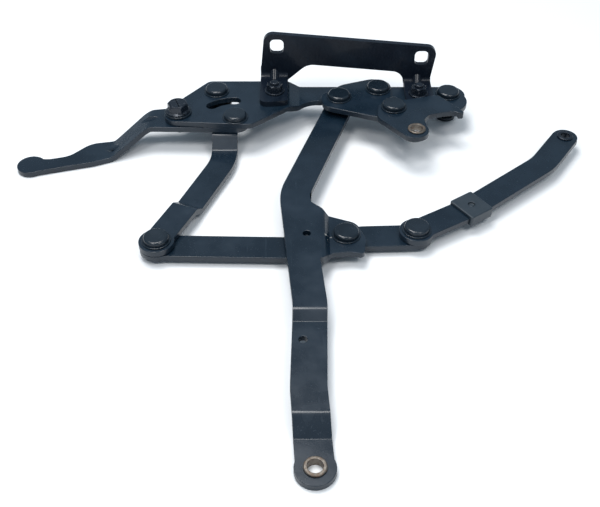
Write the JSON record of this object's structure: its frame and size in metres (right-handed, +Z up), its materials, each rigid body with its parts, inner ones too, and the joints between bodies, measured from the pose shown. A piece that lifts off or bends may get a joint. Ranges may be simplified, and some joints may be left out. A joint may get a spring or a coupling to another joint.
{
  "type": "multi-bar linkage hinge",
  "caption": "Folding hinge of flat steel links riveted together on a rail, with an upright mounting bracket, a bent support arm and a long joggled arm.",
  "frame": {"origin": "middle of the bounding box in plan, on the plane that the linkage lies on", "axes": "+Z up along every pivot, +X along the rail, +Y towards the back of the mounting flange"},
  "size_m": [0.397, 0.344, 0.0623],
  "materials": {
    "painted_bar": "gloss blue-black paint",
    "painted_bracket": "gloss blue-black paint",
    "painted_rivet": "gloss blue-black paint",
    "dark_fastener": "satin dark paint",
    "worn_steel": "bare, with light rust",
    "block_plastic": "satin"
  },
  "bodies": {
    "root": {"rear_rail": "painted_bar", "mount_bracket": "painted_bracket", "bracket_bolts": "dark_fastener", "bracket_washers": "dark_fastener", "bracket_nuts": "dark_fastener", "support_arm": "painted_bar", "support_arm_rivet": "painted_rivet", "support_arm_bolt": "dark_fastener", "support_arm_nut": "dark_fastener", "standoff_pin": "painted_rivet", "fixed_washers": "painted_rivet", "curved_link_rivet": "painted_rivet", "curved_link_spacer": "painted_rivet", "crank_plate_rivet": "painted_rivet", "crank_plate_washer": "painted_rivet"},
    "crank_plate": {"crank_plate": "painted_bar", "long_arm_rivet": "painted_rivet", "long_arm_spacer": "painted_rivet", "drive_crank_rivet": "painted_rivet", "crank_plate_washers": "painted_rivet"},
    "long_arm": {"long_arm": "painted_bar", "foot_bush": "worn_steel", "cross_link_rivet": "painted_rivet", "cross_link_washer": "painted_rivet"},
    "cross_link": {"cross_link": "painted_bar", "curved_end_rivet": "painted_rivet", "outer_link_rivet": "painted_rivet", "cross_link_washers": "painted_rivet"},
    "curved_link": {"curved_link": "painted_bar"},
    "outer_link": {"outer_link": "painted_bar", "outer_eyelet": "dark_fastener", "guide_block": "block_plastic"},
    "drive_crank": {"drive_crank": "painted_bar", "drive_crank_bush": "worn_steel"}
  },
  "joints": [
    {"name": "crank_plate_swing", "type": "hinge", "parent": "root", "child": "crank_plate", "pos_m": [0.0577, 0.1555, 0.022], "axis": [0, 0, 1], "range_deg": [-2.1, 2.6]},
    {"name": "long_arm_swing", "type": "hinge", "parent": "crank_plate", "child": "long_arm", "pos_m": [0.0285, 0.1445, 0.0136], "axis": [0, 0, 1], "range_deg": [-20, 25]},
    {"name": "cross_link_swing", "type": "hinge", "parent": "long_arm", "child": "cross_link", "pos_m": [0.0291, 0.0062, 0.005], "axis": [0, 0, 1], "range_deg": [-22.5, 18]},
    {"name": "curved_link_swing", "type": "hinge", "parent": "root", "child": "curved_link", "pos_m": [-0.0614, 0.1523, 0.0136], "axis": [0, 0, 1], "range_deg": [-21, 26]},
    {"name": "outer_link_swing", "type": "hinge", "parent": "cross_link", "child": "outer_link", "pos_m": [0.0738, 0.0108, 0.0093], "axis": [0, 0, 1], "range_deg": [-110, 10]},
    {"name": "drive_crank_swing", "type": "hinge", "parent": "crank_plate", "child": "drive_crank", "pos_m": [0.0668, 0.1248, 0.0265], "axis": [0, 0, 1], "range_deg": [-60, 0]}
  ],
  "couplings": [
    {"joint": "crank_plate_swing", "follows": "long_arm_swing", "ratio": 0.1},
    {"joint": "cross_link_swing", "follows": "long_arm_swing", "ratio": -0.874},
    {"joint": "curved_link_swing", "follows": "long_arm_swing", "ratio": 1.009}
  ]
}
